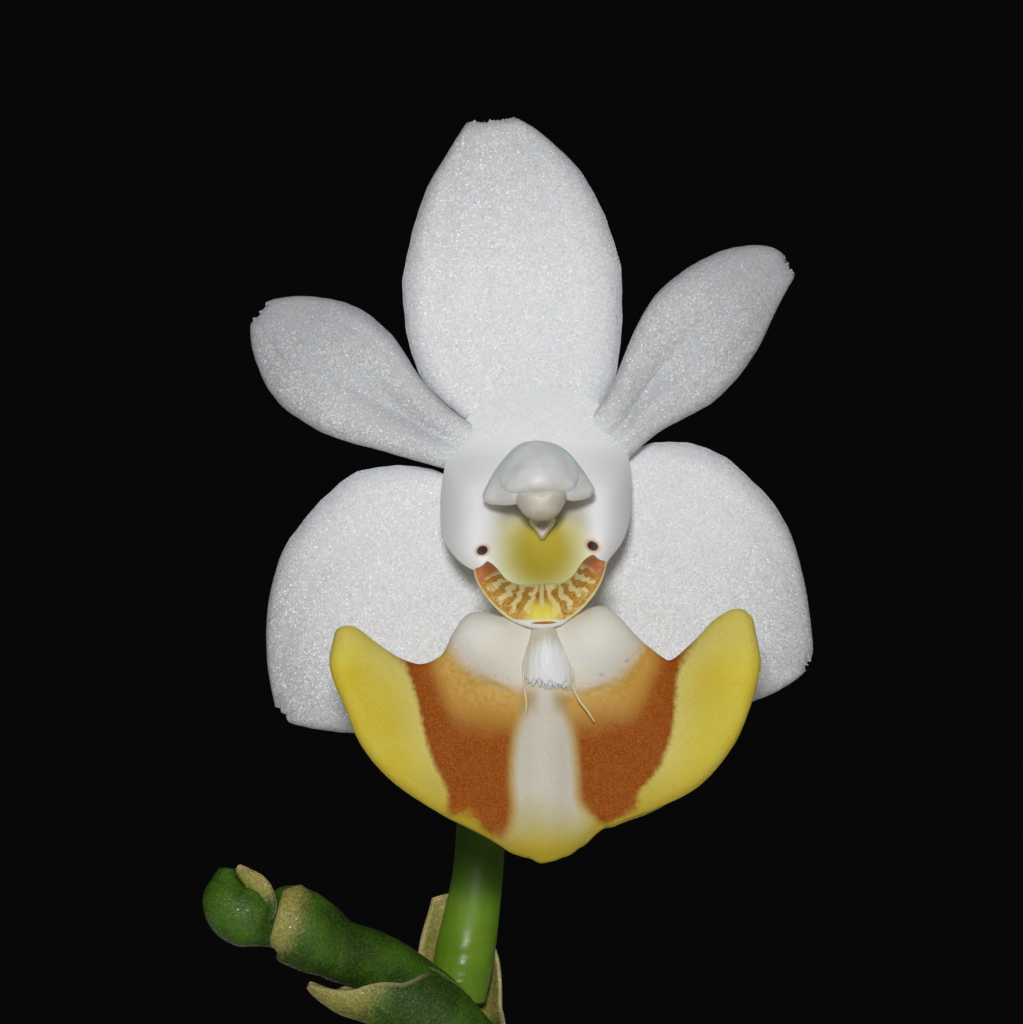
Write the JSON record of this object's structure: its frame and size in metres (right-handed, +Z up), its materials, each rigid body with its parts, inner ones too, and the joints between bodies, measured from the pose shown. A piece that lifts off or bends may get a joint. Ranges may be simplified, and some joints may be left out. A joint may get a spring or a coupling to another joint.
{
  "type": "potted phalaenopsis lobbii",
  "caption": "Miniature moth orchid in a clay pot of bark: broad leaves, silvery roots and a spike with an open white flower, its wide yellow and brown lip facing forward.",
  "frame": {"origin": "centre of the pot's underside", "axes": "+Z up, -Y the way the flower faces, +X to the right as the flower is looked at"},
  "size_m": [0.12, 0.0704, 0.1324],
  "materials": {
    "clay": "matte",
    "bark": "matte",
    "leaf": "satin",
    "stalk": "satin",
    "root": "matte",
    "tepal": "satin",
    "lip": "satin",
    "column": "satin"
  },
  "bodies": {
    "root": {"pot": "clay", "bark_mix": "bark", "stem": "stalk", "leaf_1": "leaf", "leaf_2": "leaf", "leaf_3": "leaf", "leaf_4": "leaf", "leaf_5": "leaf", "root_1": "root", "root_2": "root", "root_3": "root", "root_4": "root", "root_5": "root", "root_6": "root", "flower_stalk": "stalk", "pedicel": "stalk", "dorsal_sepal": "tepal", "left_lateral_sepal": "tepal", "right_lateral_sepal": "tepal", "left_petal": "tepal", "right_petal": "tepal", "column": "column", "anther_cap": "column", "lip": "lip"}
  },
  "joints": []
}
